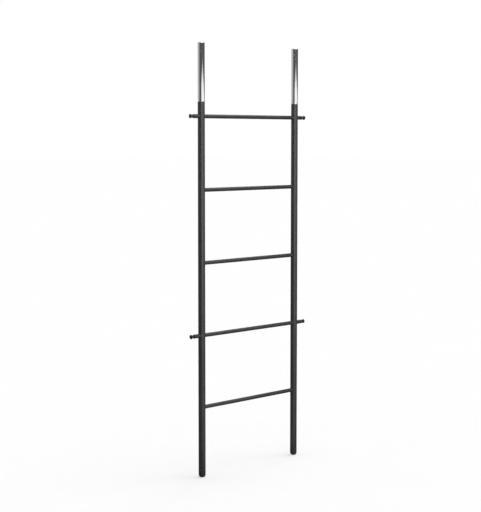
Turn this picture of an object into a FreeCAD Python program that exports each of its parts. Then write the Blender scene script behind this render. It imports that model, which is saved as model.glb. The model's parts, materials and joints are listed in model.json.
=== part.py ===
import FreeCAD, Part
import math
import os
import re
import Sketcher

# A leaning blanket ladder in millimetres, standing upright.
# Frame: origin on the floor midway between the feet, +Z up the stiles,
# -X to the left stile, -Y to the room and +Y to the wall behind the ladder.
#
# Every round piece is drawn along its own Z axis and then turned into place.

SIZES = [
    # overall layout
    ("ladder_height", 1524, "floor to the top of the tip caps"),
    ("stile_spacing", 478, "between the axes of the two stiles"),
    ("tip_length", 203, "bright tip above the black stile, with its cap"),
    ("top_rung_drop", 50, "from the top of the stile down to the top rung"),
    ("lowest_rung_height", 249.5, "floor to the axis of the bottom rung"),
    # tube stock
    ("stile_diameter", 25, "outside of stile and tip tube"),
    ("stile_wall", 1.5, "wall of stile and tip tube"),
    ("rung_diameter", 14, "outside of a rung"),
    ("rung_wall", 1.2, "wall of a rung"),
    ("tube_edge", 0.3, "bevel on the outer edge of each cut tube end"),
    ("rung_hole_gap", 0.1, "around a rung where it enters a stile"),
    ("rung_end_gap", 0.3, "from a short rung's end to the far side of the stile's bore"),
    # pegs and their knobs
    ("peg_reach", 25, "bare peg between the stile and the knob"),
    ("knob_collar", 1.5, "collar that stops the knob on the end of the rung"),
    ("knob_neck", 11.5, "length of the recessed neck"),
    ("knob_neck_diameter", 9.5, "diameter of the recessed neck"),
    ("knob_head", 2.5, "thickness of the head"),
    ("knob_overhang", 0.5, "how far the head stands out past the rung all round"),
    ("knob_rim", 0.8, "rounding of the head's outer rim"),
    ("knob_lip", 0.4, "rounding of the edges beside the neck"),
    ("knob_shank", 14, "length of the shank inside the rung"),
    ("knob_gap", 0.1, "around the shank"),
    # tip joint and cap
    ("plug_gap", 0.1, "around a plug or a cap skirt inside a tube"),
    ("plug_length", 20, "threaded plug in stile or tip"),
    ("plug_edge", 0.8, "lead-in bevel on plugs, shanks and skirts"),
    ("stud_diameter", 10, "stud that joins tip and stile"),
    ("stud_length", 36, "stud from end to end"),
    ("stud_gap", 0.05, "around the stud inside a plug"),
    ("cap_thickness", 2, "cap above the end of the tip tube"),
    ("cap_rim", 0.6, "rounding of the cap's top rim"),
    ("cap_skirt", 12, "depth of the cap's skirt inside the tube"),
    ("cap_skirt_wall", 2, "wall of the cap's skirt"),
    # feet
    ("foot_height", 25, "floor to the bottom end of the stile tube"),
    ("foot_flat", 14, "diameter of the flat patch that touches the floor"),
    ("foot_dome", 10, "height of the rounded lower part"),
    ("foot_plug", 26, "length of the plug inside the stile"),
    ("foot_rib_height", 0.5, "how far a rib stands out of the plug"),
    ("foot_rib_pitch", 6, "from rib to rib"),
    ("foot_core", 11, "diameter of the hollow core"),
    ("foot_core_depth", 34, "depth of the hollow core from the plug's top"),
    # set screws behind the rungs
    ("screw_diameter", 6, "set screw across its thread"),
    ("screw_recess", 0.95, "how far a set screw lies below the back of the stile"),
    ("screw_gap", 0.05, "around a set screw, and between its tip and the rung"),
    ("screw_edge", 0.8, "bevel on the pressing tip of a set screw"),
    ("screw_socket", 3, "hexagon socket across its flats"),
    ("screw_socket_depth", 2.2, "depth of the hexagon socket"),
    ("boss_wall", 1.45, "wall of the drawn boss round the screw's thread"),
    ("boss_gap", 1, "between the boss and the rung"),
]

RUNG_NAMES = ["bottom_rung", "fourth_rung", "third_rung", "second_rung", "top_rung"]
PEG_RUNGS = ["fourth_rung", "top_rung"]
PEG_RUNG_STEP = RUNG_NAMES.index("top_rung") - RUNG_NAMES.index("fourth_rung")
SIDES = {"left": -1, "right": 1}
FOOT_RIBS = 4

# Sizes that follow from the ones above
STILE_RADIUS = "(stile_diameter / 2)"
BORE_RADIUS = "(stile_diameter / 2 - stile_wall)"
RUNG_RADIUS = "(rung_diameter / 2)"
JOIN_HEIGHT = "(ladder_height - tip_length)"
RUNG_SPACING = f"(({JOIN_HEIGHT} - top_rung_drop - lowest_rung_height) / {len(RUNG_NAMES) - 1})"
STILE_LENGTH = f"({JOIN_HEIGHT} - foot_height)"
SHORT_RUNG_REACH = f"(sqrt({BORE_RADIUS} ^ 2 - {RUNG_RADIUS} ^ 2) - rung_end_gap)"
PEG_RUNG_REACH = f"({STILE_RADIUS} + peg_reach)"
PLUG_DIAMETER = f"(2 * ({BORE_RADIUS} - plug_gap))"
HEAD_RADIUS = "(rung_diameter / 2 + knob_overhang)"
SHANK_DIAMETER = "(rung_diameter - 2 * rung_wall - 2 * knob_gap)"
DOME_INSET = f"({STILE_RADIUS} - foot_flat / 2)"
DOME_RADIUS = f"((foot_dome ^ 2 + {DOME_INSET} ^ 2) / (2 * {DOME_INSET}))"
RIB_RADIUS = f"({BORE_RADIUS} - plug_gap)"
FOOT_PLUG_RADIUS = f"({RIB_RADIUS} - foot_rib_height)"
SCREW_TIP = f"({RUNG_RADIUS} + screw_gap)"
SCREW_LENGTH = f"({STILE_RADIUS} - screw_recess - {SCREW_TIP})"
THREAD_DIAMETER = "(screw_diameter + 2 * screw_gap)"
BOSS_DIAMETER = f"({THREAD_DIAMETER} + 2 * boss_wall)"
BOSS_FACE = f"({RUNG_RADIUS} + boss_gap)"
BOSS_ROOT = f"(sqrt({STILE_RADIUS} ^ 2 - ({BOSS_DIAMETER} / 2) ^ 2) - stile_wall / 4)"

# Turns that carry a piece drawn along +Z onto another direction
UPRIGHT = FreeCAD.Rotation()
TO_RIGHT = FreeCAD.Rotation(FreeCAD.Vector(0, 1, 0), 90)
TO_LEFT = FreeCAD.Rotation(FreeCAD.Vector(0, 1, 0), -90)

doc = FreeCAD.newDocument("blanket_ladder")
sheet = doc.addObject("Spreadsheet::Sheet", "Sizes")
for row, (alias, number, meaning) in enumerate(SIZES, start=1):
    sheet.set(f"A{row}", alias)
    sheet.set(f"B{row}", str(number))
    sheet.set(f"C{row}", meaning)
    sheet.setAlias(f"B{row}", alias)
doc.recompute()

ALIASES = {alias for alias, number, meaning in SIZES}
sub_parts = []


# ---------------------------------------------------------------- helpers

def linked(text):
    """The text as an expression in which every size name points to the spreadsheet."""
    def link(word):
        return "Sizes." + word.group() if word.group() in ALIASES else word.group()
    return re.sub(r"[a-z_]+", link, text)


def value(text):
    return float(sheet.evalExpression(linked(text)))


def bind(item, field, text):
    item.setExpression(field, linked(text))


def new_body(label, x="0", z="0", turn=UPRIGHT):
    """An empty sub-part, placed by expressions in the ladder's plane."""
    body = doc.addObject("PartDesign::Body", label)
    body.Label = label
    body.Placement = FreeCAD.Placement(FreeCAD.Vector(), turn)
    bind(body, ".Placement.Base.x", x)
    bind(body, ".Placement.Base.z", z)
    sub_parts.append(body)
    return body


def origin_feature(body, role):
    return next(item for item in body.Origin.OriginFeatures if item.Role == role)


def new_sketch(body, name, plane="XY_Plane", lift="0"):
    """A sketch on one of the body's origin planes, lifted along the plane's normal."""
    sketch = body.newObject("Sketcher::SketchObject", name)
    sketch.AttachmentSupport = (origin_feature(body, plane), "")
    sketch.MapMode = "FlatFace"
    bind(sketch, ".AttachmentOffset.Base.z", lift)
    return sketch


def dimension(sketch, kind, *where, size):
    """A dimension whose value follows the spreadsheet."""
    index = sketch.addConstraint(Sketcher.Constraint(kind, *where, value(size)))
    bind(sketch, f"Constraints[{index}]", size)


def add_circle(sketch, diameter, up="0"):
    """A circle centred on the sketch's vertical axis."""
    centre = FreeCAD.Vector(0, value(up), 0)
    circle = sketch.addGeometry(Part.Circle(centre, FreeCAD.Vector(0, 0, 1), value(diameter) / 2))
    if up == "0":
        sketch.addConstraint(Sketcher.Constraint("Coincident", circle, 3, -1, 1))
    else:
        sketch.addConstraint(Sketcher.Constraint("PointOnObject", circle, 3, -2))
        dimension(sketch, "DistanceY", -1, 1, circle, 3, size=up)
    dimension(sketch, "Diameter", circle, size=diameter)


def add_outline(sketch, corners):
    """A closed outline of straight lines through corners given as (across, up) pairs."""
    points = [FreeCAD.Vector(value(across), value(up), 0) for across, up in corners]
    ends = points[1:] + points[:1]
    lines = [sketch.addGeometry(Part.LineSegment(a, b)) for a, b in zip(points, ends)]
    for line, following in zip(lines, lines[1:] + lines[:1]):
        sketch.addConstraint(Sketcher.Constraint("Coincident", line, 2, following, 1))
    for line, (across, up) in zip(lines, corners):
        dimension(sketch, "DistanceX", -1, 1, line, 1, size=across)
        dimension(sketch, "DistanceY", -1, 1, line, 1, size=up)


def extrude(body, kind, name, sketch, length=None, backwards=False, both_ways=False):
    """A Pad or a Pocket of a sketch; a Pocket with no length goes through everything."""
    feature = body.newObject(f"PartDesign::{kind}", name)
    feature.Profile = sketch
    feature.Reversed = backwards
    if both_ways:
        feature.SideType = "Symmetric"
    if length is None:
        feature.Type = "ThroughAll"
    else:
        bind(feature, "Length", length)
    doc.recompute()
    return feature


def revolve(body, name, sketch):
    """A full turn of a sketch about the body's own Z axis."""
    feature = body.newObject("PartDesign::Revolution", name)
    feature.Profile = sketch
    feature.ReferenceAxis = (origin_feature(body, "Z_Axis"), "")
    feature.Angle = 360
    doc.recompute()
    return feature


def repeat(body, name, features, axis, step, count):
    """Copies of the features at equal steps along one of the body's axes."""
    pattern = body.newObject("PartDesign::LinearPattern", name)
    pattern.Originals = features
    pattern.Direction = (origin_feature(body, axis), "")
    pattern.Mode = "Spacing"
    bind(pattern, "Offset", step)
    pattern.Occurrences = count
    body.Tip = pattern
    doc.recompute()
    return pattern


def rims(feature, radius, level):
    """Names of the round edges of one radius at one level up the piece's Z axis."""
    names = []
    for number, edge in enumerate(feature.Shape.Edges, start=1):
        if not isinstance(edge.Curve, Part.Circle):
            continue
        same_radius = math.isclose(edge.Curve.Radius, value(radius), abs_tol=1e-6)
        same_level = math.isclose(edge.Curve.Center.z, value(level), abs_tol=1e-6)
        if same_radius and same_level:
            names.append(f"Edge{number}")
    if not names:
        raise RuntimeError(f"{feature.Name} has no rim of radius {radius} at {level}")
    return names


def dress(body, kind, name, feature, edges, size):
    """A Chamfer or a Fillet of the named edges."""
    dressed = body.newObject(f"PartDesign::{kind}", name)
    dressed.Base = (feature, edges)
    bind(dressed, "Radius" if kind == "Fillet" else "Size", size)
    doc.recompute()
    return dressed


# ---------------------------------------------------------------- pieces

def add_tube(body, diameter, wall, length, centred=False):
    """A cut tube along Z with its outer end edges bevelled."""
    section = new_sketch(body, f"{body.Label}_section")
    add_circle(section, diameter)
    add_circle(section, f"{diameter} - 2 * {wall}")
    wall_pad = extrude(body, "Pad", f"{body.Label}_tube", section, length, both_ways=centred)
    low = f"-{length} / 2" if centred else "0"
    high = f"{length} / 2" if centred else length
    ends = rims(wall_pad, f"{diameter} / 2", low) + rims(wall_pad, f"{diameter} / 2", high)
    return dress(body, "Chamfer", f"{body.Label}_ends", wall_pad, ends, "tube_edge")


def add_stile(side):
    """A black stile: rung holes, and behind each rung a boss threaded for its set screw."""
    label = f"{side}_stile"
    body = new_body(label, x=f"{SIDES[side]} * stile_spacing / 2", z="foot_height")
    add_tube(body, "stile_diameter", "stile_wall", STILE_LENGTH)
    lowest = "(lowest_rung_height - foot_height)"
    lowest_peg = f"({lowest} + {RUNG_NAMES.index('fourth_rung')} * {RUNG_SPACING})"

    boss_sketch = new_sketch(body, f"{label}_boss_sketch", "XZ_Plane", f"-{BOSS_FACE}")
    add_circle(boss_sketch, BOSS_DIAMETER, up=lowest)
    boss = extrude(body, "Pad", f"{label}_boss", boss_sketch, f"{BOSS_ROOT} - {BOSS_FACE}",
                   backwards=True)

    thread_sketch = new_sketch(body, f"{label}_thread_sketch", "XZ_Plane")
    add_circle(thread_sketch, THREAD_DIAMETER, up=lowest)
    thread = extrude(body, "Pocket", f"{label}_thread", thread_sketch)

    inner_sketch = new_sketch(body, f"{label}_inner_hole_sketch", "YZ_Plane")
    add_circle(inner_sketch, "rung_diameter + 2 * rung_hole_gap", up=lowest)
    inner_hole = extrude(body, "Pocket", f"{label}_inner_hole", inner_sketch,
                         backwards=side == "left")
    repeat(body, f"{label}_rung_joints", [boss, thread, inner_hole], "Z_Axis",
           RUNG_SPACING, len(RUNG_NAMES))

    outer_sketch = new_sketch(body, f"{label}_outer_hole_sketch", "YZ_Plane")
    add_circle(outer_sketch, "rung_diameter + 2 * rung_hole_gap", up=lowest_peg)
    outer_hole = extrude(body, "Pocket", f"{label}_outer_hole", outer_sketch,
                         backwards=side == "right")
    repeat(body, f"{label}_peg_holes", [outer_hole], "Z_Axis",
           f"{PEG_RUNG_STEP} * {RUNG_SPACING}", len(PEG_RUNGS))


def rung_height(name):
    return f"(lowest_rung_height + {RUNG_NAMES.index(name)} * {RUNG_SPACING})"


def add_rung(name):
    """A rung: short ones end inside the stiles, long ones go through and form the pegs."""
    reach = PEG_RUNG_REACH if name in PEG_RUNGS else SHORT_RUNG_REACH
    body = new_body(name, z=rung_height(name), turn=TO_RIGHT)
    add_tube(body, "rung_diameter", "rung_wall", f"(stile_spacing + 2 * {reach})", centred=True)


def add_knob(rung, side):
    """A turned knob pressed into the end of a peg: shank, collar, neck and head."""
    label = f"{rung}_{side}_knob"
    end = f"{SIDES[side]} * (stile_spacing / 2 + {PEG_RUNG_REACH})"
    turn = TO_RIGHT if side == "right" else TO_LEFT
    body = new_body(label, x=end, z=rung_height(rung), turn=turn)
    neck_end = "(knob_collar + knob_neck)"
    tip = f"({neck_end} + knob_head)"
    profile = new_sketch(body, f"{label}_profile", "XZ_Plane")
    add_outline(profile, [
        ("0", "-knob_shank"),
        (f"{SHANK_DIAMETER} / 2", "-knob_shank"),
        (f"{SHANK_DIAMETER} / 2", "0"),
        (RUNG_RADIUS, "0"),
        (RUNG_RADIUS, "knob_collar"),
        ("knob_neck_diameter / 2", "knob_collar"),
        ("knob_neck_diameter / 2", neck_end),
        (HEAD_RADIUS, neck_end),
        (HEAD_RADIUS, tip),
        ("0", tip),
    ])
    turned = revolve(body, f"{label}_turning", profile)
    nose = dress(body, "Chamfer", f"{label}_lead_in", turned,
                 rims(turned, f"{SHANK_DIAMETER} / 2", "-knob_shank"), "plug_edge")
    rim = dress(body, "Fillet", f"{label}_rim", nose, rims(nose, HEAD_RADIUS, tip), "knob_rim")
    lips = rims(rim, RUNG_RADIUS, "knob_collar") + rims(rim, HEAD_RADIUS, neck_end)
    dress(body, "Fillet", f"{label}_lips", rim, lips, "knob_lip")


def add_tip(side):
    """The polished tube that stands on a stile."""
    body = new_body(f"{side}_tip", x=f"{SIDES[side]} * stile_spacing / 2", z=JOIN_HEIGHT)
    add_tube(body, "stile_diameter", "stile_wall", "(tip_length - cap_thickness)")


def add_tip_cap(side):
    """The flat cap on a tip, with a skirt that goes down inside the tube."""
    label = f"{side}_tip_cap"
    body = new_body(label, x=f"{SIDES[side]} * stile_spacing / 2",
                    z="ladder_height - cap_thickness")
    disc_sketch = new_sketch(body, f"{label}_disc_sketch")
    add_circle(disc_sketch, "stile_diameter")
    disc = extrude(body, "Pad", f"{label}_disc", disc_sketch, "cap_thickness")
    rim = dress(body, "Fillet", f"{label}_rim", disc,
                rims(disc, STILE_RADIUS, "cap_thickness"), "cap_rim")
    seam = dress(body, "Chamfer", f"{label}_seam", rim, rims(rim, STILE_RADIUS, "0"), "tube_edge")
    body.Tip = seam
    skirt_sketch = new_sketch(body, f"{label}_skirt_sketch")
    add_circle(skirt_sketch, PLUG_DIAMETER)
    add_circle(skirt_sketch, f"{PLUG_DIAMETER} - 2 * cap_skirt_wall")
    skirt = extrude(body, "Pad", f"{label}_skirt", skirt_sketch, "cap_skirt", backwards=True)
    dress(body, "Chamfer", f"{label}_lead_in", skirt,
          rims(skirt, f"{PLUG_DIAMETER} / 2", "-cap_skirt"), "plug_edge")


def add_plug(side, holder):
    """A threaded plug flush with the end of the stile or of the tip."""
    label = f"{side}_{holder}_plug"
    base = JOIN_HEIGHT if holder == "tip" else f"{JOIN_HEIGHT} - plug_length"
    hidden_end = "plug_length" if holder == "tip" else "0"
    body = new_body(label, x=f"{SIDES[side]} * stile_spacing / 2", z=base)
    section = new_sketch(body, f"{label}_section")
    add_circle(section, PLUG_DIAMETER)
    add_circle(section, "stud_diameter + 2 * stud_gap")
    ring = extrude(body, "Pad", f"{label}_ring", section, "plug_length")
    dress(body, "Chamfer", f"{label}_lead_in", ring,
          rims(ring, f"{PLUG_DIAMETER} / 2", hidden_end), "plug_edge")


def add_stud(side):
    """The stud that draws the tip down on the stile, half of it in each plug."""
    label = f"{side}_joint_stud"
    body = new_body(label, x=f"{SIDES[side]} * stile_spacing / 2", z=JOIN_HEIGHT)
    section = new_sketch(body, f"{label}_section")
    add_circle(section, "stud_diameter")
    rod = extrude(body, "Pad", f"{label}_rod", section, "stud_length", both_ways=True)
    ends = rims(rod, "stud_diameter / 2", "-stud_length / 2")
    ends += rims(rod, "stud_diameter / 2", "stud_length / 2")
    dress(body, "Chamfer", f"{label}_ends", rod, ends, "plug_edge")


def add_foot(side):
    """A moulded foot: flat tread, rounded side, collar, and a ribbed hollow plug."""
    label = f"{side}_foot"
    body = new_body(label, x=f"{SIDES[side]} * stile_spacing / 2")
    radius = value(STILE_RADIUS)
    dome = value("foot_dome")
    height = value("foot_height")
    flat = value("foot_flat") / 2
    across = radius - value(DOME_RADIUS)
    profile = new_sketch(body, f"{label}_profile", "XZ_Plane")
    tread = profile.addGeometry(Part.LineSegment(FreeCAD.Vector(0, 0, 0),
                                                 FreeCAD.Vector(flat, 0, 0)))
    circle = Part.Circle(FreeCAD.Vector(across, dome, 0), FreeCAD.Vector(0, 0, 1),
                         value(DOME_RADIUS))
    arc = profile.addGeometry(Part.ArcOfCircle(circle, -math.atan2(dome, flat - across), 0))
    collar = profile.addGeometry(Part.LineSegment(FreeCAD.Vector(radius, dome, 0),
                                                  FreeCAD.Vector(radius, height, 0)))
    top = profile.addGeometry(Part.LineSegment(FreeCAD.Vector(radius, height, 0),
                                               FreeCAD.Vector(0, height, 0)))
    axis = profile.addGeometry(Part.LineSegment(FreeCAD.Vector(0, height, 0),
                                                FreeCAD.Vector(0, 0, 0)))
    for first, second in ((tread, arc), (arc, collar), (collar, top), (top, axis), (axis, tread)):
        profile.addConstraint(Sketcher.Constraint("Coincident", first, 2, second, 1))
    profile.addConstraint(Sketcher.Constraint("Coincident", tread, 1, -1, 1))
    profile.addConstraint(Sketcher.Constraint("Horizontal", tread))
    profile.addConstraint(Sketcher.Constraint("Vertical", collar))
    profile.addConstraint(Sketcher.Constraint("Horizontal", top))
    profile.addConstraint(Sketcher.Constraint("Vertical", axis))
    profile.addConstraint(Sketcher.Constraint("Horizontal", arc, 3, arc, 2))
    dimension(profile, "DistanceY", -1, 1, arc, 3, size="foot_dome")
    dimension(profile, "Radius", arc, size=DOME_RADIUS)
    dimension(profile, "DistanceX", -1, 1, arc, 2, size=STILE_RADIUS)
    dimension(profile, "DistanceY", -1, 1, top, 2, size="foot_height")
    body_turning = revolve(body, f"{label}_dome", profile)
    seam = dress(body, "Chamfer", f"{label}_seam", body_turning,
                 rims(body_turning, STILE_RADIUS, "foot_height"), "tube_edge")
    body.Tip = seam

    plug_sketch = new_sketch(body, f"{label}_plug_sketch", lift="foot_height")
    add_circle(plug_sketch, f"2 * {FOOT_PLUG_RADIUS}")
    plug = extrude(body, "Pad", f"{label}_plug", plug_sketch, "foot_plug")
    dress(body, "Chamfer", f"{label}_lead_in", plug,
          rims(plug, FOOT_PLUG_RADIUS, "foot_height + foot_plug"), "plug_edge")

    rib_low = "(foot_height + foot_rib_pitch / 2)"
    rib_sketch = new_sketch(body, f"{label}_rib_sketch", "XZ_Plane")
    add_outline(rib_sketch, [
        (f"{FOOT_PLUG_RADIUS} - foot_rib_height", rib_low),
        (RIB_RADIUS, rib_low),
        (RIB_RADIUS, f"{rib_low} + foot_rib_height"),
        (f"{FOOT_PLUG_RADIUS} - foot_rib_height", f"{rib_low} + foot_rib_pitch / 2"),
    ])
    rib = revolve(body, f"{label}_rib", rib_sketch)
    repeat(body, f"{label}_ribs", [rib], "Z_Axis", "foot_rib_pitch", FOOT_RIBS)

    core_sketch = new_sketch(body, f"{label}_core_sketch", lift="foot_height + foot_plug")
    add_circle(core_sketch, "foot_core")
    extrude(body, "Pocket", f"{label}_core", core_sketch, "foot_core_depth")


def add_hexagon(sketch, across_flats, up):
    """A regular hexagon centred on the sketch's vertical axis, one corner straight up."""
    corner_radius = f"({across_flats} / 2 / cos(30 deg))"
    radius = value(across_flats) / 2 / math.cos(math.radians(30))
    centre = FreeCAD.Vector(0, value(up), 0)
    corners = []
    for step in range(6):
        angle = math.radians(90 + 60 * step)
        corners.append(centre + FreeCAD.Vector(math.cos(angle), math.sin(angle), 0) * radius)
    ends = corners[1:] + corners[:1]
    lines = [sketch.addGeometry(Part.LineSegment(a, b)) for a, b in zip(corners, ends)]
    guide = sketch.addGeometry(Part.Circle(centre, FreeCAD.Vector(0, 0, 1), radius), True)
    sketch.addConstraint(Sketcher.Constraint("PointOnObject", guide, 3, -2))
    dimension(sketch, "DistanceY", -1, 1, guide, 3, size=up)
    dimension(sketch, "Radius", guide, size=corner_radius)
    for line, following in zip(lines, lines[1:] + lines[:1]):
        sketch.addConstraint(Sketcher.Constraint("Coincident", line, 2, following, 1))
        sketch.addConstraint(Sketcher.Constraint("PointOnObject", line, 1, guide))
    for line in lines[1:]:
        sketch.addConstraint(Sketcher.Constraint("Equal", lines[0], line))
    sketch.addConstraint(Sketcher.Constraint("PointOnObject", lines[0], 1, -2))


def add_set_screws():
    """Ten set screws in the backs of the stiles, each pressing on a rung."""
    label = "rung_set_screws"
    body = new_body(label, x="-stile_spacing / 2")
    body.AllowCompound = True
    shank_sketch = new_sketch(body, f"{label}_shank_sketch", "XZ_Plane", f"-{SCREW_TIP}")
    add_circle(shank_sketch, "screw_diameter", up="lowest_rung_height")
    shank = extrude(body, "Pad", f"{label}_shank", shank_sketch, SCREW_LENGTH, backwards=True)
    tip_rim = []
    for number, edge in enumerate(shank.Shape.Edges, start=1):
        if math.isclose(edge.BoundBox.YMax, value(SCREW_TIP), abs_tol=1e-6):
            tip_rim.append(f"Edge{number}")
    dress(body, "Chamfer", f"{label}_point", shank, tip_rim, "screw_edge")
    socket_sketch = new_sketch(body, f"{label}_socket_sketch", "XZ_Plane",
                               f"-({SCREW_TIP} + {SCREW_LENGTH})")
    add_hexagon(socket_sketch, "screw_socket", up="lowest_rung_height")
    extrude(body, "Pocket", f"{label}_socket", socket_sketch, "screw_socket_depth",
            backwards=True)
    for name, axis, step, count in (
        ("column", "Z_Axis", RUNG_SPACING, len(RUNG_NAMES)),
        ("pair", "X_Axis", "stile_spacing", len(SIDES)),
    ):
        pattern = repeat(body, f"{label}_{name}", [], axis, step, count)
        pattern.TransformMode = "Whole shape"
        doc.recompute()


for stile_side in SIDES:
    add_stile(stile_side)
    add_tip(stile_side)
    add_tip_cap(stile_side)
    add_plug(stile_side, "stile")
    add_plug(stile_side, "tip")
    add_stud(stile_side)
    add_foot(stile_side)
for rung_name in RUNG_NAMES:
    add_rung(rung_name)
for rung_name in PEG_RUNGS:
    for knob_side in SIDES:
        add_knob(rung_name, knob_side)
add_set_screws()
doc.recompute()

# ---------------------------------------------------------------- check and write

for item in doc.Objects:
    if "Invalid" in item.State or "Error" in item.State:
        raise RuntimeError(f"{item.Label} is {item.State}")

os.makedirs("parts", exist_ok=True)
for sub_part in sub_parts:
    shape = sub_part.Shape
    if shape.isNull() or not shape.isValid() or not shape.Solids:
        raise RuntimeError(f"{sub_part.Label} has no valid solid")
    box = shape.optimalBoundingBox()
    print(f"{sub_part.Label}: {len(shape.Solids)} solid(s), {shape.Volume:.1f} mm3, "
          f"x {box.XMin:.2f} to {box.XMax:.2f}, y {box.YMin:.2f} to {box.YMax:.2f}, "
          f"z {box.ZMin:.2f} to {box.ZMax:.2f}")
    shape.exportStep(f"parts/{sub_part.Label}.step")
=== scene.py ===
import json
import math

import bpy
from mathutils import Euler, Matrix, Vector

# The blanket ladder's look. Metres, +Z up, -Y to the room, +Y to the wall behind the ladder.

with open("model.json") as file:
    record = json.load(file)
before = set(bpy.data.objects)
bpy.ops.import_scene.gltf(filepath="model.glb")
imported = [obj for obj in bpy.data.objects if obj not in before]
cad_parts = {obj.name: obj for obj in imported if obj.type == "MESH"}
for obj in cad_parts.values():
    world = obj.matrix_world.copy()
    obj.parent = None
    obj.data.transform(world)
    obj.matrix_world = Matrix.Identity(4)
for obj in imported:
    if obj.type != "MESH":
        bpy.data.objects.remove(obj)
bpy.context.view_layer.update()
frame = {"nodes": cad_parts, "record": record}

# The photograph's viewpoint: metres, degrees and millimetres
CAMERA_PLACE = (-3.4810, -3.3982, 1.1944)
CAMERA_TURN = (85.02, 0.0, -45.31)
CAMERA_LENS = 94.85
CAMERA_SENSOR = 36.0
CAMERA_CLIP = 200.0

# Where a tip meets its stile, in metres; the dulled ring on the chrome follows it
JOIN_HEIGHT = 1.321
DULLED_RING = 0.010

# The Mix node has one set of sockets for each type of data; these are the colour's
MIX_FACTOR, MIX_FIRST, MIX_SECOND, MIX_RESULT = 0, 6, 7, 2

# A bevel's samples, and the cosine between its normal and the surface's where the surface is
# smooth and where it has a sharp edge
BEVEL_SAMPLES = 4
COSINE_SMOOTH = 0.995
COSINE_SHARP = 0.86


# ---------------------------------------------------------------- node helpers

class Nodes:
    """Short ways to add nodes to one material or world."""

    def __init__(self, owner):
        owner.use_nodes = True
        self.tree = owner.node_tree
        self.tree.nodes.clear()

    def new(self, kind):
        return self.tree.nodes.new(kind)

    def feed(self, socket, given):
        """Links a socket to another one, or sets it to a constant."""
        if isinstance(given, bpy.types.NodeSocket):
            self.tree.links.new(given, socket)
        else:
            socket.default_value = given

    def add(self, kind, **inputs):
        node = self.new(kind)
        for name, given in inputs.items():
            self.feed(node.inputs[name.replace("_", " ")], given)
        return node

    def math(self, operation, first, second, clamp=False):
        node = self.new("ShaderNodeMath")
        node.operation = operation
        node.use_clamp = clamp
        self.feed(node.inputs[0], first)
        self.feed(node.inputs[1], second)
        return node.outputs[0]

    def times(self, first, second):
        return self.math("MULTIPLY", first, second)

    def plus(self, first, second, clamp=False):
        return self.math("ADD", first, second, clamp)

    def ramp(self, given, low, high, start=0.0, end=1.0, smooth=True):
        """Maps low..high of a value onto start..end, held flat outside."""
        node = self.add("ShaderNodeMapRange", Value=given, From_Min=low, From_Max=high,
                        To_Min=start, To_Max=end)
        node.interpolation_type = "SMOOTHSTEP" if smooth else "LINEAR"
        node.clamp = True
        return node.outputs["Result"]

    def noise(self, place, scale, detail=3.0, roughness=0.55):
        node = self.add("ShaderNodeTexNoise", Vector=place, Scale=scale, Detail=detail,
                        Roughness=roughness)
        return node.outputs[0]

    def streaks(self, place, stretch, detail=3.0, roughness=0.55):
        """Noise with its own scale along each axis."""
        mapped = self.add("ShaderNodeMapping", Vector=place, Scale=stretch).outputs[0]
        return self.noise(mapped, 1.0, detail, roughness)

    def blend(self, amount, first, second):
        """A colour that goes from first to second as amount goes from 0 to 1."""
        node = self.new("ShaderNodeMix")
        node.data_type = "RGBA"
        self.feed(node.inputs[MIX_FACTOR], amount)
        self.feed(node.inputs[MIX_FIRST], first)
        self.feed(node.inputs[MIX_SECOND], second)
        return node.outputs[MIX_RESULT]

    def layer(self, under, mask, strength, over):
        """A colour laid over another one where the mask is high."""
        return self.blend(self.times(mask, strength), under, over)

    def bump(self, height, strength, distance, normal=None):
        node = self.add("ShaderNodeBump", Height=height, Strength=strength, Distance=distance)
        if normal is not None:
            self.feed(node.inputs["Normal"], normal)
        return node.outputs[0]

    def place(self):
        return self.new("ShaderNodeTexCoord").outputs["Object"]

    def upward(self, vector):
        return self.add("ShaderNodeSeparateXYZ", Vector=vector).outputs["Z"]

    def normal(self):
        return self.new("ShaderNodeNewGeometry").outputs["Normal"]

    def edges(self, reach):
        """Near 1 on a convex or concave edge and 0 on smooth surfaces."""
        bevel = self.add("ShaderNodeBevel", Radius=reach)
        bevel.samples = BEVEL_SAMPLES
        dot = self.new("ShaderNodeVectorMath")
        dot.operation = "DOT_PRODUCT"
        self.feed(dot.inputs[0], bevel.outputs[0])
        self.feed(dot.inputs[1], self.normal())
        return self.ramp(dot.outputs["Value"], COSINE_SMOOTH, COSINE_SHARP)

    def seen(self):
        """1 for camera, glossy and transmission rays, 0 for those that light the object."""
        path = self.new("ShaderNodeLightPath").outputs
        either = self.math("MAXIMUM", path["Is Camera Ray"], path["Is Glossy Ray"])
        return self.math("MAXIMUM", either, path["Is Transmission Ray"])

    def put_out(self, shader, kind="ShaderNodeOutputMaterial"):
        self.feed(self.new(kind).inputs["Surface"], shader.outputs[0])

    def surface(self, **inputs):
        self.put_out(self.add("ShaderNodeBsdfPrincipled", **inputs))


def grey(value, tint=(1.0, 1.0, 1.0)):
    return (value * tint[0], value * tint[1], value * tint[2], 1.0)


# ---------------------------------------------------------------- materials

COOL = (1.0, 1.0, 1.02)
FAINTLY_COOL = (1.0, 1.0, 1.01)
BLUISH = (1.0, 1.0, 1.04)

PAINT_DUST = grey(0.16, (1.0, 0.98, 0.94))
PAINT_SCUFF = grey(0.11)
PAINT_RUBBED = grey(0.13, (1.0, 0.98, 0.95))
PAINT_IOR = 1.5

CHROME_CLEAN = (0.80, 0.81, 0.79, 1.0)
CHROME_SMEARED = (0.75, 0.76, 0.738, 1.0)
CHROME_DULLED = (0.50, 0.50, 0.48, 1.0)
CHROME_PIT = (0.42, 0.42, 0.40, 1.0)

RUBBER_DEEP = grey(0.013)
RUBBER_PALE = grey(0.024)
RUBBER_DUST = grey(0.16, (1.0, 0.96, 0.90))
RUBBER_SCUFF = grey(0.07)
RUBBER_RUBBED = grey(0.06)
RUBBER_IOR = 1.48

PLATED_EDGE_LIMIT = 0.8


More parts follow.
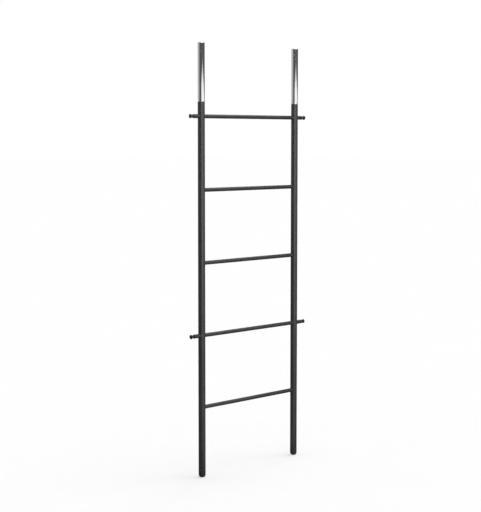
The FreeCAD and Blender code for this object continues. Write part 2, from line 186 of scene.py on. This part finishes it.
def black_paint(name, base, roughness, peel):
    """Satin powder coat: orange peel, dust on upper faces, rubbed edges, scuffs low down."""
    material = bpy.data.materials.new(name)
    n = Nodes(material)
    place = n.place()
    height = n.upward(place)
    facing_up = n.upward(n.normal())

    # colour: slow drift, a fine sparkle of the powder, dust that lies on upper faces
    drift = n.noise(place, scale=5.0, detail=4.0)
    grain = n.noise(place, scale=1500.0, detail=2.0, roughness=0.6)
    cloud = n.noise(place, scale=38.0, detail=5.0, roughness=0.65)
    dust = n.times(n.ramp(facing_up, 0.35, 1.0), n.ramp(cloud, 0.42, 0.72))
    colour = n.blend(drift, grey(base * 0.86, COOL), grey(base * 1.14, FAINTLY_COOL))
    colour = n.layer(colour, n.ramp(grain, 0.50, 0.80), 0.35, grey(base * 1.9, COOL))
    colour = n.layer(colour, dust, 0.22, PAINT_DUST)

    # thin upright scuffs, more of them near the floor
    upright = n.streaks(place, (900.0, 900.0, 26.0), roughness=0.7)
    low_down = n.ramp(height, 0.42, 0.0, start=0.25, end=1.0)
    scuff = n.times(n.ramp(upright, 0.66, 0.78), low_down)
    colour = n.layer(colour, scuff, 0.30, PAINT_SCUFF)

    # edges rubbed thin by blankets and hands
    rubbing = n.ramp(n.noise(place, scale=210.0), 0.40, 0.62)
    worn = n.times(n.edges(reach=0.0009), rubbing)
    colour = n.layer(colour, worn, 0.45, PAINT_RUBBED)

    # gloss: hand-polished patches and duller dusty ones
    patches = n.noise(place, scale=17.0, detail=5.0, roughness=0.6)
    rough = n.ramp(patches, 0.35, 0.68, start=roughness - 0.06, end=roughness + 0.06)
    rough = n.plus(rough, n.times(dust, 0.16))
    rough = n.plus(rough, n.times(scuff, 0.10))
    rough = n.math("SUBTRACT", rough, n.times(worn, 0.06), clamp=True)

    # orange peel of the cured powder, with the finer grain on top
    waves = n.noise(place, scale=620.0, detail=2.0, roughness=0.5)
    relief = n.bump(waves, strength=peel, distance=0.00012)
    relief = n.bump(grain, strength=peel * 0.6, distance=0.00003, normal=relief)
    relief = n.bump(scuff, strength=0.25, distance=0.00002, normal=relief)
    n.surface(Base_Color=colour, Roughness=rough, Normal=relief, IOR=PAINT_IOR)
    return material


def polished_chrome(name):
    """Chrome plate on tube: hoop-wise polishing marks, smudges, pits, a dulled ring below."""
    material = bpy.data.materials.new(name)
    n = Nodes(material)
    place = n.place()
    height = n.upward(place)
    smear = n.ramp(n.noise(place, scale=26.0, detail=5.0, roughness=0.62), 0.46, 0.72)
    hoops = n.streaks(place, (6.0, 6.0, 2600.0), roughness=0.6)
    pits = n.ramp(n.noise(place, scale=700.0, detail=2.0, roughness=0.5), 0.72, 0.80)
    near_join = n.ramp(height, JOIN_HEIGHT + DULLED_RING, JOIN_HEIGHT)
    worn = n.edges(reach=0.0006)

    colour = n.blend(smear, CHROME_CLEAN, CHROME_SMEARED)
    colour = n.layer(colour, near_join, 0.25, CHROME_DULLED)
    colour = n.layer(colour, pits, 0.5, CHROME_PIT)

    rough = n.ramp(smear, 0.0, 1.0, start=0.045, end=0.075)
    rough = n.plus(rough, n.times(hoops, 0.02))
    rough = n.plus(rough, n.times(near_join, 0.06))
    rough = n.plus(rough, n.times(worn, 0.10), clamp=True)

    relief = n.bump(hoops, strength=0.012, distance=0.00001)
    relief = n.bump(pits, strength=0.02, distance=0.00002, normal=relief)
    n.surface(Base_Color=colour, Metallic=1.0, Roughness=rough, Normal=relief)
    return material


def black_rubber(name):
    """Moulded rubber: fine matte grain, floor dust round the tread, scuffs, rubbed edges."""
    material = bpy.data.materials.new(name)
    n = Nodes(material)
    place = n.place()
    height = n.upward(place)
    grain = n.noise(place, scale=1900.0, roughness=0.6)
    cloud = n.noise(place, scale=90.0, detail=5.0, roughness=0.6)
    dust = n.times(n.ramp(height, 0.009, 0.0), n.ramp(cloud, 0.36, 0.66))
    scuff = n.ramp(n.streaks(place, (500.0, 500.0, 90.0), detail=2.0), 0.64, 0.76)
    worn = n.edges(reach=0.0008)

    colour = n.blend(cloud, RUBBER_DEEP, RUBBER_PALE)
    colour = n.layer(colour, dust, 0.35, RUBBER_DUST)
    colour = n.layer(colour, scuff, 0.20, RUBBER_SCUFF)
    colour = n.layer(colour, worn, 0.25, RUBBER_RUBBED)

    rough = n.ramp(cloud, 0.3, 0.7, start=0.46, end=0.62)
    rough = n.plus(rough, n.times(dust, 0.22), clamp=True)

    relief = n.bump(grain, strength=0.35, distance=0.00004)
    relief = n.bump(cloud, strength=0.15, distance=0.00008, normal=relief)
    n.surface(Base_Color=colour, Roughness=rough, Normal=relief, IOR=RUBBER_IOR)
    return material


def plated_steel(name, base, roughness, tint):
    """Turned or headed hardware: hoop-wise tool marks, cloudy plating, brighter edges."""
    material = bpy.data.materials.new(name)
    n = Nodes(material)
    place = n.place()
    cloud = n.noise(place, scale=160.0, detail=5.0, roughness=0.6)
    marks = n.streaks(place, (70.0, 70.0, 4200.0), detail=2.0)
    bright = min(base * 1.8 + 0.05, PLATED_EDGE_LIMIT)
    colour = n.blend(cloud, grey(base * 0.82, tint), grey(base * 1.12, tint))
    colour = n.layer(colour, n.edges(reach=0.0004), 0.4, grey(bright, tint))
    rough = n.ramp(cloud, 0.3, 0.7, start=roughness - 0.07, end=roughness + 0.08)
    relief = n.bump(marks, strength=0.12, distance=0.00002)
    n.surface(Base_Color=colour, Metallic=1.0, Roughness=rough, Normal=relief)
    return material


LOOKS = {
    "black_powder_coat": black_paint("black_powder_coat_look",
                                     base=0.030, roughness=0.33, peel=0.13),
    "black_knob_coat": black_paint("black_knob_coat_look",
                                   base=0.019, roughness=0.33, peel=0.10),
    "polished_chrome": polished_chrome("polished_chrome_look"),
    "black_rubber": black_rubber("black_rubber_look"),
    "zinc_plated_steel": plated_steel("zinc_plated_steel_look",
                                      base=0.56, roughness=0.33, tint=COOL),
    "black_oxide_steel": plated_steel("black_oxide_steel_look",
                                      base=0.09, roughness=0.42, tint=BLUISH),
}

for part in frame["record"]["subparts"]:
    node = frame["nodes"][part["node"]]
    for slot in node.material_slots:
        slot.material = LOOKS[part["material_slot"]]


# ---------------------------------------------------------------- floor

FLOOR_REACH = 60.0
FLOOR_PAINT = 0.55
FLOOR_DRIFT = 0.015
FLOOR_GLOW = 0.40


def link_object(name, data):
    thing = bpy.data.objects.new(name, data)
    bpy.context.scene.collection.objects.link(thing)
    return thing


def mesh_object(name, vertices, faces):
    mesh = bpy.data.meshes.new(name)
    mesh.from_pydata(vertices, [], faces)
    mesh.update()
    return link_object(name, mesh)


def floor_material():
    """A pale matt floor, white to the camera and in reflections, that keeps its shadows."""
    material = bpy.data.materials.new("studio_floor")
    n = Nodes(material)
    paint = n.blend(n.noise(n.place(), scale=3.0), grey(FLOOR_PAINT * (1.0 - FLOOR_DRIFT)),
                    grey(FLOOR_PAINT * (1.0 + FLOOR_DRIFT)))
    matt = n.add("ShaderNodeBsdfDiffuse", Color=paint)
    glow = n.add("ShaderNodeEmission", Color=grey(1.0), Strength=n.times(n.seen(), FLOOR_GLOW))
    both = n.new("ShaderNodeAddShader")
    n.feed(both.inputs[0], matt.outputs[0])
    n.feed(both.inputs[1], glow.outputs[0])
    n.put_out(both)
    return material


floor = mesh_object("floor", [
    (-FLOOR_REACH, -FLOOR_REACH, 0.0),
    (FLOOR_REACH, -FLOOR_REACH, 0.0),
    (FLOOR_REACH, FLOOR_REACH, 0.0),
    (-FLOOR_REACH, FLOOR_REACH, 0.0),
], [(0, 1, 2, 3)])
floor.data.materials.append(floor_material())


# ---------------------------------------------------------------- painted reflections

# Painted reflections: a round wall sheet and a floor sheet that glow, are no lamps and are
# seen by glossy rays alone, so the polished tips and the satin black mirror painted light and
# shade. Angles are in degrees about the ladder's middle, 0 towards the camera and positive to
# its right. Heights and reaches are in metres.
TOWARDS_CAMERA = math.degrees(math.atan2(CAMERA_PLACE[1], CAMERA_PLACE[0]))
SHEET_TURNS = 180
WALL_DISTANCE = 3.5
WALL_TOP = 4.2
FLOOR_REFLECTION_HEIGHT = 0.001

# The rings of points, close together where the painted card's gable line crosses the wall
GABLE_RINGS = [1.1 + 0.02 * i for i in range(56)]
WALL_RINGS = [0.0, 0.6, 1.0] + GABLE_RINGS + [2.4, 3.0, 3.3, 3.6, 3.9, WALL_TOP]
FLOOR_REFLECTION_RINGS = [0.05, 0.3, 0.6, 1.0, 1.5, 2.0, 2.5, 3.0, WALL_DISTANCE]

# Brightness of the painted reflections, where 1 is white. The drape, card, box and strip
# are painted regions of the glowing sheets, no props or lamps
PAINTED_REFLECTION_DARK = 0.08
SIDE_DARK = 0.100
SIDE_WHITE = 0.80
BACK_DARK = 0.22
PAINTED_CARD_WHITE = 1.10
PAINTED_CARD_FAR_WHITE = 0.50
CARD_FOOT_SHARE = 0.6
LOW_STRIP_WHITE = 2.5
PAINTED_BOX_WHITE = 6.0
PAINTED_STRIP_WHITE = 9.0
FLOOR_REFLECTION_NEAR_WHITE = 0.55
FLOOR_REFLECTION_FAR_WHITE = 0.80

# Each pair is the start and end of a soft step from 0 to 1, by angle, height or reach
LEFT_LIGHTENS = (15.0, 135.0)
LEFT_DARKENS = (135.0, 165.0)
LEFT_DARK_BELOW = (1.2, 0.6)
RIGHT_DARKENS = (145.0, 165.0)
CARD_STARTS = (2.0, 9.0)
CARD_DIMS = (85.0, 125.0)
CARD_DIMS_BELOW = (0.9, 0.0)
CORNER_ANGLE = (95.0, 125.0)
CORNER_HEIGHT = (1.36, 1.16)
LOW_STRIP_ANGLES = ((2.0, 12.0), (46.0, 28.0))
LOW_STRIP_HEIGHTS = ((0.0, 0.6), (1.38, 1.26))
BOX_ANGLES = ((-16.0, -8.0), (104.0, 50.0))
BOX_HEIGHTS = ((1.98, 2.16), (3.9, 3.3))
STRIP_ANGLES = ((-6.0, 8.0), (44.0, 26.0))
FLOOR_REFLECTION_STARTS = (-8.0, -2.0)
FLOOR_REFLECTION_LIGHTENS = (0.6, 3.4)
FLOOR_REFLECTION_DIMS = (80.0, 105.0)
FLOOR_REFLECTION_LEFT_DARKENS = (90.0, 160.0)

# The painted card's upper edge: a top at one angle, with a slope to its left and two to its
# right
GABLE_ANGLE = 50.0
GABLE_TOP = 1.668
GABLE_LEFT_SLOPE = 0.0028
GABLE_RIGHT_SLOPE = 0.0060
GABLE_BEND = 12.0
GABLE_FAR_SLOPE = 0.0022
GABLE_SOFT_BELOW = 0.07
GABLE_SOFT_ABOVE = 0.025


def soft_step(span, value):
    low, high = span
    share = min(max((value - low) / (high - low), 0.0), 1.0)
    return share * share * (3.0 - 2.0 * share)


def window(spans, value):
    """1 between two soft steps, the first up and the second down."""
    rise, fall = spans
    return soft_step(rise, value) * soft_step(fall, value)


def mixed(first, second, share):
    return first + (second - first) * share


def left_shade(around, height):
    """Painted reflection on the left: dark at first, lighter from the side onwards, dark
    behind and low down.
    """
    shade = mixed(PAINTED_REFLECTION_DARK, SIDE_WHITE, soft_step(LEFT_LIGHTENS, -around))
    shade = mixed(shade, BACK_DARK, soft_step(LEFT_DARKENS, -around))
    return mixed(shade, PAINTED_REFLECTION_DARK, soft_step(LEFT_DARK_BELOW, height))


def gable_height(around):
    off = around - GABLE_ANGLE
    if off < 0.0:
        return GABLE_TOP + GABLE_LEFT_SLOPE * off
    return (GABLE_TOP - GABLE_RIGHT_SLOPE * min(off, GABLE_BEND)
            - GABLE_FAR_SLOPE * max(off - GABLE_BEND, 0.0))


def right_shade(around, height):
    """Painted reflection on the right: a white card below the gable line that dims towards the
    right and the floor.
    """
    card = mixed(PAINTED_CARD_WHITE, PAINTED_CARD_FAR_WHITE, soft_step(CARD_DIMS, around))
    corner = soft_step(CORNER_HEIGHT, height) * soft_step(CORNER_ANGLE, around)
    card = mixed(card, SIDE_DARK, corner)
    card = mixed(card, card * CARD_FOOT_SHARE, soft_step(CARD_DIMS_BELOW, height))
    low_strip = window(LOW_STRIP_ANGLES, around) * window(LOW_STRIP_HEIGHTS, height)
    card = card + LOW_STRIP_WHITE * low_strip
    gable = gable_height(around)
    edge = (gable - GABLE_SOFT_BELOW, gable + GABLE_SOFT_ABOVE)
    shade = mixed(card, SIDE_DARK, soft_step(edge, height))
    shade = mixed(PAINTED_REFLECTION_DARK, shade, soft_step(CARD_STARTS, around))
    return mixed(shade, BACK_DARK, soft_step(RIGHT_DARKENS, around))


def wall_shade(around, height):
    """The wall's painted reflection, and a brighter painted box that glows above it, brightest
    in its middle strip; neither is a lamp.
    """
    shade = left_shade(around, height) if around < 0.0 else right_shade(around, height)
    box = window(BOX_HEIGHTS, height) * window(BOX_ANGLES, around)
    glow = mixed(PAINTED_BOX_WHITE, PAINTED_STRIP_WHITE, window(STRIP_ANGLES, around))
    return mixed(shade, glow, box)


# Painted reflection of the floor sheet: dark to the left, lighter in front and further out,
# dimmer to the right and dark behind
def floor_reflection_paint(around, reach):
    if around < FLOOR_REFLECTION_STARTS[0]:
        return mixed(PAINTED_REFLECTION_DARK, BACK_DARK, soft_step(FLOOR_REFLECTION_LEFT_DARKENS, -around))
    front = mixed(FLOOR_REFLECTION_NEAR_WHITE, FLOOR_REFLECTION_FAR_WHITE, soft_step(FLOOR_REFLECTION_LIGHTENS, reach))
    shade = mixed(front, SIDE_DARK, soft_step(FLOOR_REFLECTION_DIMS, around))
    shade = mixed(shade, BACK_DARK, soft_step(RIGHT_DARKENS, around))
    return mixed(PAINTED_REFLECTION_DARK, shade, soft_step(FLOOR_REFLECTION_STARTS, around))


def painted_reflection_sheet(name, rings, place, shade):
    """A glowing surface, no lamp, that only reflections see; its painted brightness is stated
    at each point.
    """
    points, levels = [], []
    for i in range(SHEET_TURNS + 1):
        around = -180.0 + 360.0 * i / SHEET_TURNS
        turn = math.radians(TOWARDS_CAMERA + around)
        for ring in rings:
            reach, height = place(ring)
            points.append((reach * math.cos(turn), reach * math.sin(turn), height))
            levels.append(shade(around, ring))
    count = len(rings)
    faces = []
    for i in range(SHEET_TURNS):
        for j in range(count - 1):
            a = i * count + j
            faces.append((a, a + 1, a + count + 1, a + count))
    sheet = mesh_object(name, points, faces)
    level = sheet.data.attributes.new("level", "FLOAT", "POINT")
    level.data.foreach_set("value", levels)

    # Painted reflection: the sheet glows with the level stated at each point
    material = bpy.data.materials.new(name + "_painted_glow")
    n = Nodes(material)
    read = n.new("ShaderNodeAttribute")
    read.attribute_name = "level"
    n.put_out(n.add("ShaderNodeEmission", Color=grey(1.0), Strength=read.outputs["Fac"]))
    sheet.data.materials.append(material)

    sheet.visible_camera = False
    sheet.visible_diffuse = False
    sheet.visible_shadow = False
    sheet.visible_transmission = False
    sheet.visible_volume_scatter = False


painted_reflection_sheet("reflected_wall", WALL_RINGS,
                lambda height: (WALL_DISTANCE, height), wall_shade)
painted_reflection_sheet("reflected_floor", FLOOR_REFLECTION_RINGS,
                lambda reach: (reach, FLOOR_REFLECTION_HEIGHT), floor_reflection_paint)


# ---------------------------------------------------------------- light

SKY_LEVEL = 1.2
SKY_WIDTH = 50.0
SKY_FROM = (0.50, -0.10, 0.86)
AIR_LEVEL = 0.75

sky = bpy.data.lights.new("overhead_sky", "SUN")
sky.energy = SKY_LEVEL
sky.angle = math.radians(SKY_WIDTH)
sky_lamp = link_object("overhead_sky", sky)
sky_lamp.rotation_euler = (-Vector(SKY_FROM)).to_track_quat("-Z", "Y").to_euler()

# The air is white where it is seen and dimmer where it lights the object
world = bpy.data.worlds.new("studio")
bpy.context.scene.world = world
w = Nodes(world)
level = w.ramp(w.seen(), 0.0, 1.0, start=AIR_LEVEL, end=1.0, smooth=False)
w.put_out(w.add("ShaderNodeBackground", Color=grey(1.0), Strength=level),
          "ShaderNodeOutputWorld")


# ---------------------------------------------------------------- camera

camera_data = bpy.data.cameras.new("camera")
camera_data.sensor_width = CAMERA_SENSOR
camera_data.sensor_fit = "AUTO"
camera_data.lens = CAMERA_LENS
camera_data.clip_end = CAMERA_CLIP
camera = link_object("camera", camera_data)
camera.location = CAMERA_PLACE
camera.rotation_euler = Euler([math.radians(angle) for angle in CAMERA_TURN], "XYZ")
bpy.context.scene.camera = camera

bpy.context.scene.view_settings.view_transform = "Standard"
